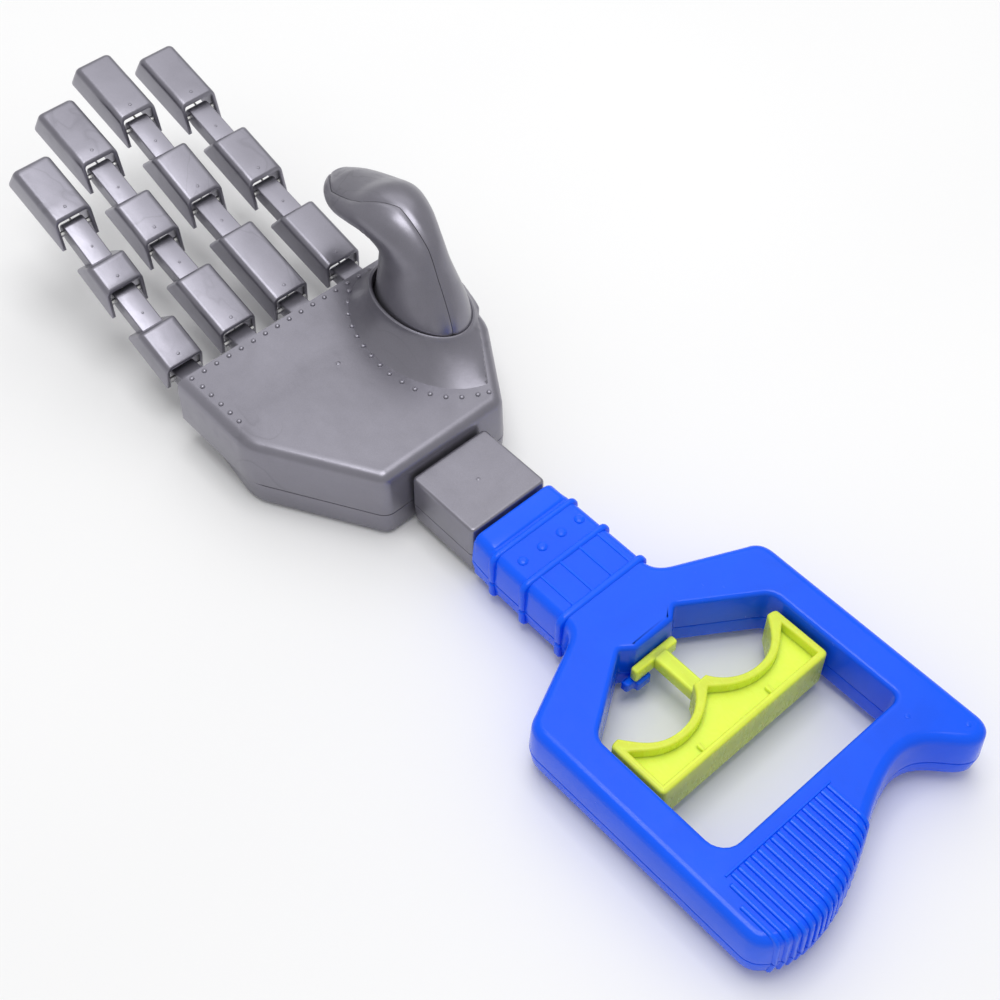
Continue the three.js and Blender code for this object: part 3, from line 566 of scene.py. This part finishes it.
# (share of the thumb's length, how far round its seam has moved towards the little finger)
SEAM_SHIFT = [(0, 0.1), (0.3, 0), (0.42, 0.1), (0.52, 0.75), (0.72, 0.95), (0.9, 0.4), (1, 0)]
THUMB_ROWS = 110
CREASES = [(0.43, 0.3), (0.465, 0.42), (0.5, 0.25)]  # share of the thumb's length, depth


def thumb_section(t):
    """Catmull-Rom between the sections: (x, z, radius along the bend, radius across it)."""
    at = t * (len(THUMB_SECTIONS) - 1)
    i = min(int(at), len(THUMB_SECTIONS) - 2)
    s = at - i
    p = [THUMB_SECTIONS[max(0, min(len(THUMB_SECTIONS) - 1, i + k))] for k in (-1, 0, 1, 2)]
    return [0.5 * (2 * b + (c - a) * s + (2 * a - 5 * b + 4 * c - d) * s * s
                   + (3 * b - a - 3 * c + d) * s ** 3)
            for a, b, c, d in zip(*p)]


def thumb_half(name, way, node):
    """One half of the thumb, closed along the seam. way is 1 on the little finger's side."""
    n = 30
    rings = []
    for row in range(THUMB_ROWS + 1):
        t = row / THUMB_ROWS
        x, z, along, across = thumb_section(t)
        if row < 4:
            z = max(z, 30.4)
        ahead, behind = thumb_section(min(1, t + 0.01)), thumb_section(max(0, t - 0.01))
        heading = Vector((ahead[0] - behind[0], 0, ahead[1] - behind[1])).normalized()
        if t < 0.1:
            heading = heading.lerp(Vector((0, 0, 1)), 1 - t / 0.1).normalized()
        out = Vector((heading.z, 0, -heading.x))
        ring = []
        lo, hi = [pair for pair in zip(SEAM_SHIFT, SEAM_SHIFT[1:]) if pair[0][0] <= t][-1]
        span = math.pi - way * (lo[1] + (hi[1] - lo[1]) * (t - lo[0]) / (hi[0] - lo[0]))
        for k in range(n + 1):
            angle = span * k / n
            groove = 0.35 * math.exp(-(min(angle, span - angle) / 0.04) ** 2)
            crease = sum(deep * math.exp(-((t - at) / 0.006) ** 2) for at, deep in CREASES)
            crease *= math.exp(-((angle - 0.55) / 0.75) ** 2) if way == 1 else 0
            nail = 0.35 * math.exp(-((t - 0.80) / 0.05) ** 4) * math.exp(-((angle - math.pi) / 0.7) ** 4)
            shrink = groove + crease + nail
            u = (along - shrink) * math.cos(angle)
            v = (across - shrink) * math.sin(angle) + 0.1
            ring.append(THUMB_TURN @ (Vector((x, THUMB_Y + way * v, z)) + out * u))
        rings.append(ring)
    form = Form()
    form.skin(rings, flip=way == 1)
    form.piece(name, "silver_grey_plastic", "hand", [node])


# ---- palm ----
def palm_shape(left):
    """The palm's outline, its left side running to y = left at the fingers."""
    return rounded([
        (PALM_FRONT, left, 0), (108, PALM_LEFT, 16), (67.8, 24.8, 5), (67.8, -24.4, 5), (97, -44, 16), (122, -50.2, 12),
        (PALM_FRONT, -42, 0)], 8)


palm_outline = palm_shape(PALM_LEFT)
BACK_LEFT = 43.4  # where the palm's back half ends at the fingers
RIVET_PITCH = 4.9
FINGERS = {  # middle, knuckle x and z, two links, cap and each member's pitch
    "index": (-28.8, 155.6, 17.9, (43.2, 38.7, 30), (13.2, 16.5, 15)),
    "middle": (-6, 155.6, 17.3, (48.2, 38.3, 31.2), (15.6, 20.3, 15.5)),
    "ring": (16.3, 155.4, 17.4, (42.4, 34.9, 30.4), (16.4, 21, 15.5)),
    "little": (38.8, 154.5, 17.3, (33.2, 28.4, 28.5), (22, 26, 18)),
}
RIM_CENTRE, RIM_RADII, RIM_TURN, RIM_Z, RIM_TILT = (113, -28.9), (21.7, 15.1), -0.13, 36.6, 0.18
MOUND_CENTRE, MOUND_RADII, MOUND_ROOT = (108.5, -29.3), (33.2, 23.6), 27.7
RIVET_ARC = [
    (138.3, -18.3), (134.4, -14.6), (130.2, -11.4), (125.1, -8.9), (120.5, -7.3), (115.8, -6), (110.7, -5.1),
    (105.7, -4.7), (100.7, -4.5), (95.4, -5.3), (90.3, -6.4), (85.5, -8.6), (81.2, -11.5), (77.8, -15.2),
    (75.2, -19.7), (73.6, -23)]


def inside(point, outline):
    found = False
    for a, b in zip(outline, outline[1:] + outline[:1]):
        if (a.y > point.y) != (b.y > point.y) and point.x < a.x + (b.x - a.x) * (point.y - a.y) / (b.y - a.y):
            found = not found
    return found


def mound(form):
    """The flared socket round the thumb, kept inside the palm's own outline."""
    n, rows = 96, 14
    limit = offset(palm_outline, 4.2, lambda p: min(1, max(0.04, (113 - p.x) / 18)))
    rings = []
    centre = Vector(RIM_CENTRE)

    def rim_point(angle, grow):
        spin = Matrix.Rotation(RIM_TURN, 2)
        reach = (RIM_RADII[0] + grow) * math.cos(angle), (RIM_RADII[1] + grow) * math.sin(angle)
        return centre + spin @ Vector(reach)

    for r in range(-1, rows + 1):
        t = max(0, r / rows)
        flare = (1 - t) ** 1.45
        ring = []
        for k in range(n):
            angle = 2 * math.pi * k / n
            base = Vector((MOUND_CENTRE[0] + MOUND_RADII[0] * math.cos(angle),
                           MOUND_CENTRE[1] + MOUND_RADII[1] * math.sin(angle)))
            top = rim_point(angle, 0)
            p = top.lerp(base, flare)
            if not inside(p, limit):
                low, high = 0.0, 1.0
                for _ in range(14):
                    half = (low + high) / 2
                    low, high = (half, high) if inside(centre.lerp(p, half), limit) else (low, half)
                p = centre.lerp(p, low)
            z = MOUND_ROOT + (RIM_Z + RIM_TILT * (top.y - centre.y) - MOUND_ROOT) * t if r >= 0 else 24
            ring.append((p.x, p.y, z))
        rings.append(ring)
    for grow, drop in ((-0.25, -0.25), (-0.7, -0.35), (-1.1, -0.05), (-1.25, 0.6), (-1.3, 6)):
        ring = []
        for k in range(n):
            p = rim_point(2 * math.pi * k / n, grow)
            z = max(29.5, RIM_Z + RIM_TILT * (p.y - centre.y) - drop)
            ring.append((p.x, p.y, 29.5 if drop == 6 else z))
        rings.append(ring)
    form.skin(rings)


def palm():
    front = Form()
    share = lambda p: 0.1 if p.x > 143.7 else 1
    front.plate(palm_outline, levels(PART_HIGH, 28, 0.2, 3.6, 0, 0.4), weight=share)
    mound(front)
    spots = [(141.5, 43.5 - RIVET_PITCH * i) for i in range(16)]
    spots += [(x, 43) for x in (136.4, 131.7, 126.5, 121.7, 117)] + RIVET_ARC
    for x, y in spots:
        front.dome((x, y, 28), 0.85, 0.6, n=12)
    front.dome((115.4, 4.7, 28), 0.8, 0.2)
    for y, x, z, *_ in FINGERS.values():
        outline = tongue_outline(PALM_FRONT - 3 - x, 0)
        front.plate(outline, levels(-4.1, 4.1, 0.5, 0.5, steps=3), matrix=sideways(x, y, z, 0))
    front.piece("palm_front", "silver_grey_plastic", "hand", ["palm_front_cover"])
    back = Form()
    back.plate(palm_shape(BACK_LEFT), levels(0, PART_LOW, 2.2, 0.2, 0.5, 0),
               wells(PALM_SCREWS, levels(0, PART_LOW, 0.3, 0.1)))
    back.piece("palm_back", "silver_grey_plastic", "hand", ["palm_back_cover"])
    for i, (x, y) in enumerate(PALM_SCREWS):
        screw(f"palm_screw_{i + 1}", x, y, 0, "hand")


# ---- fingers ----
MEMBERS = ("proximal", "middle", "distal")
WIDE, TOP, BOTTOM, SHEET, EDGE = 7.2, 6.8, -3.8, 1.5, 2.3
TONGUE = (2.9, -3.2, 2.9)  # top, bottom and nose radius


def along(x, y, z, pitch):
    """Draws in (sideways, outwards) and runs along the member."""
    c, s = math.cos(math.radians(pitch)), math.sin(math.radians(pitch))
    return Matrix(((0, -s, c, x), (1, 0, 0, y), (0, c, s, z), (0, 0, 0, 1)))


def sideways(x, y, z, pitch):
    """Draws in (along, outwards) and runs across the member."""
    c, s = math.cos(math.radians(pitch)), math.sin(math.radians(pitch))
    return Matrix(((c, -s, 0, x), (0, 0, 1, y), (s, c, 0, z), (0, 0, 0, 1)))


def on_top(x, y, z, pitch):
    """Draws in (along, sideways) and rises outwards."""
    c, s = math.cos(math.radians(pitch)), math.sin(math.radians(pitch))
    return Matrix(((c, 0, -s, x), (0, 1, 0, y), (s, 0, c, z), (0, 0, 0, 1)))


def tongue_outline(start, end):
    """A bar from start to a round nose about end, both along the member."""
    top, bottom, nose = TONGUE
    angles = [math.pi * k / 14 for k in range(15)]
    arc = [Vector((end + nose * math.sin(a), -nose * math.cos(a))) for a in angles]
    return [Vector((start, bottom)), Vector((end - 1.2, bottom))] + arc + [Vector((start, top))]


def channel_section():
    """The closed loop of a channel's wall, open at the back of the hand."""
    outer = rounded([(WIDE, BOTTOM, 0), (WIDE, TOP, EDGE), (-WIDE, TOP, EDGE), (-WIDE, BOTTOM, 0)], 7)
    w = WIDE - SHEET
    inner = rounded([(-w, BOTTOM, 0), (-w, TOP - SHEET, 0.9), (w, TOP - SHEET, 0.9), (w, BOTTOM, 0)], 7)
    return outer + inner


def member(finger, kind):
    y, x, z, links, pitches = FINGERS[finger]
    for k in range(kind):
        a = math.radians(pitches[k])
        x, z = x + links[k] * math.cos(a), z + links[k] * math.sin(a)
    pitch, link = pitches[kind], links[kind]
    tip = kind == 2
    lips = (-1, 1) if kind == 0 else (-4, 1.5)
    ends = (link, link - 3.6) if tip else (link - 11.5, link - 17)
    wall = 2.4 if tip else 1.5
    swing = 1.9 if tip else 1.1

    def slant(pair, v):
        return pair[0] + (pair[1] - pair[0]) * (v - BOTTOM) / (TOP - BOTTOM)

    form = Form()
    place = along(x, y, z, pitch)
    loop = channel_section()
    rings = []
    for inset, step in ((0.5, 0), (0.25, 0.08), (0.08, 0.25), (0, 0.55)):
        rings.append([(p.x, p.y, slant(lips, p.y) + step) for p in offset(loop, inset)])
    for share in (0.25, 0.5, 0.75, 1):
        rings.append([(p.x, p.y, slant(lips, p.y) + 0.55
                       + (slant(ends, p.y) - wall - slant(lips, p.y) - 0.55) * share) for p in loop])
    form.skin(rings, place)
    face = rounded([(-WIDE, BOTTOM, 0), (WIDE, BOTTOM, 0), (WIDE, TOP, EDGE), (-WIDE, TOP, EDGE)], 7)
    rings = []
    angles = [math.pi / 2 * k / 6 for k in range(1, 7)]
    nose = [(swing * (1 - math.cos(a)), swing * (1 - math.sin(a))) for a in angles]
    for inset, drop in [(0, wall), (0, swing), *nose, (swing + 0.3, 0)]:
        rings.append([(p.x, p.y, slant(ends, max(BOTTOM, min(TOP, p.y))) - drop)
                      for p in offset(face, inset)])
    form.skin(rings, place)
    top = on_top(x, y, z, pitch)
    form.dome((lips[1] + 3.2, 0.3, TOP), 0.6, 0.22, top, 10)
    if not tip:
        bar = tongue_outline(ends[1] - 4, link)
        form.plate(bar, levels(-4.1, 4.1, 0.5, 0.5, steps=3), matrix=sideways(x, y, z, pitch))
        form.dome(((ends[1] + link) / 2 - 1, 0, TONGUE[0]), 0.5, 0.2, top, 10)
    name = f"{finger}_{MEMBERS[kind]}"
    form.piece(f"{name}_link", "silver_grey_plastic", name, [f"{name}_shell"])


def pivots(finger):
    y, x, z, links, pitches = FINGERS[finger]
    found = [Vector((x, y, z))]
    for link, pitch in zip(links[:2], pitches):
        a = math.radians(pitch)
        found.append(found[-1] + Vector((link * math.cos(a), 0, link * math.sin(a))))
    return found


def cords(finger):
    """The pull cord, one piece from each stretch to the next, bending over the pivot between them."""
    y, _, _, links, pitches = FINGERS[finger]
    height, radius = 2.0, 0.35
    where = pivots(finger)
    slopes = [0, *pitches]

    def spot(pivot, slope, u):
        a = math.radians(slope)
        return pivot + Vector((u * math.cos(a) - height * math.sin(a), 0,
                               u * math.sin(a) + height * math.cos(a)))

    for i, pivot in enumerate(where):
        before = 10 if i == 0 else links[i - 1] / 2
        after = links[i] / 2 if i < 2 else links[2] - 9
        line = [spot(pivot, slopes[i], -before + (before - 1) * k / 6) for k in range(7)]
        line += [spot(pivot, slopes[i + 1], 1 + (after - 1) * k / 6) for k in range(7)]
        form = Form()
        form.tube(line, radius, 8)
        made = form.piece(f"{finger}_cord_{i + 1}", "white_cord", None, [f"{finger}_pull_cord"])
        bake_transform(made)
    start = Vector((128.9, y, where[0].z + height))
    line = [start.lerp(spot(where[0], 0, -10), k / 8) for k in range(9)]
    form = Form()
    form.tube(line, radius, 8)
    made = form.piece(f"{finger}_cord_0", "white_cord", None, [f"{finger}_pull_cord"])
    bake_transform(made)


# ---- inner pieces ----
def return_spring():
    """The coil behind the drawbar's flange. The real coil shortens as the trigger is pulled; this one keeps one length
    and rides on the handle.
    """
    rear, length, coil, turns = -11.1, 36.3, 4.0, 9
    points = []
    for k in range(turns * 20 + 1):
        a = 2 * math.pi * k / 20
        x = rear + length * k / (turns * 20)
        points.append(Vector((x, coil * math.cos(a), AXIS_Z + coil * math.sin(a))))
    form = Form()
    form.tube(points, 0.5, 8)
    made = form.piece("return_coil", "steel", "handle", ["return_spring"])
    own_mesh(made)


handle()
trigger()
wrist_block()
thumb_half("thumb_palm_side", 1, "thumb_inner_half")
thumb_half("thumb_outer_side", -1, "thumb_outer_half")
palm()
for finger in FINGERS:
    for kind in range(3):
        member(finger, kind)
    cords(finger)
return_spring()
for name, node in frame["nodes"].items():
    if node.hide_render:
        continue
    slot = next(s["material_slot"] for s in frame["record"]["subparts"] if s["node"] == name)
    node.data.materials.clear()
    node.data.materials.append(LOOKS[slot])


# ---- stage ----
def floor():
    mesh = bpy.data.meshes.new("floor")
    n, size = 24, 4.0
    verts = [((i / n - 0.5) * size, (j / n - 0.5) * size, -0.0002)
             for j in range(n + 1) for i in range(n + 1)]
    faces = [(j * (n + 1) + i, j * (n + 1) + i + 1, (j + 1) * (n + 1) + i + 1, (j + 1) * (n + 1) + i)
             for j in range(n) for i in range(n)]
    mesh.from_pydata(verts, [], faces)
    obj = bpy.data.objects.new("floor", mesh)
    bpy.context.scene.collection.objects.link(obj)
    made = Nodes("floor_paper")
    paper = made.ramp(made.noise(3, 2), [(0.3, (0.86, 0.86, 0.865)), (0.7, (0.9, 0.9, 0.9))])
    made.link(paper, made.shader.inputs["Base Color"])
    made.shader.inputs["Roughness"].default_value = 0.8
    mesh.materials.append(made.material)


def lamp(name, place, target, size, power, colour=(1, 1, 1)):
    data = bpy.data.lights.new(name, "AREA")
    data.shape, data.size, data.energy, data.color = "SQUARE", size, power, colour
    obj = bpy.data.objects.new(name, data)
    obj.location = place
    obj.rotation_euler = (Vector(target) - Vector(place)).to_track_quat("-Z", "Y").to_euler()
    bpy.context.scene.collection.objects.link(obj)


def camera():
    """The camera's place from its direction, roll and distance to a point on the table."""
    azimuth, elevation, roll, distance = math.radians(-42.229), math.radians(52.321), 0.00106, 0.53458
    target = TO_ROW @ Vector((55.27, -11.07, 0))
    ahead = Vector((math.cos(elevation) * math.cos(azimuth), math.cos(elevation) * math.sin(azimuth),
                    -math.sin(elevation)))
    right = ahead.cross(Vector((0, 0, 1))).normalized()
    up = right.cross(ahead)
    tilted = right * math.cos(roll) + up * math.sin(roll)
    upright = up * math.cos(roll) - right * math.sin(roll)
    data = bpy.data.cameras.new("camera")
    data.lens, data.sensor_width = 59.7, 36
    data.clip_start, data.clip_end = 0.01, 20
    obj = bpy.data.objects.new("camera", data)
    turn = Matrix((tilted, upright, -ahead)).transposed().to_4x4()
    obj.matrix_world = Matrix.Translation(target - ahead * distance) @ turn
    bpy.context.scene.collection.objects.link(obj)
    bpy.context.scene.camera = obj


floor()
camera()
lamp("back", (0.58, -0.53, 1.1), (0, 0, 0), 1.0, 2.9)
lamp("top", (0.0, 0.0, 1.3), (0, 0, 0), 0.7, 7.5)
world = bpy.data.worlds.new("studio")
world.use_nodes = True
world.node_tree.nodes["Background"].inputs["Color"].default_value = (1, 1, 1, 1)
world.node_tree.nodes["Background"].inputs["Strength"].default_value = 0.6
bpy.context.scene.world = world
bpy.context.scene.view_settings.view_transform = "Standard"
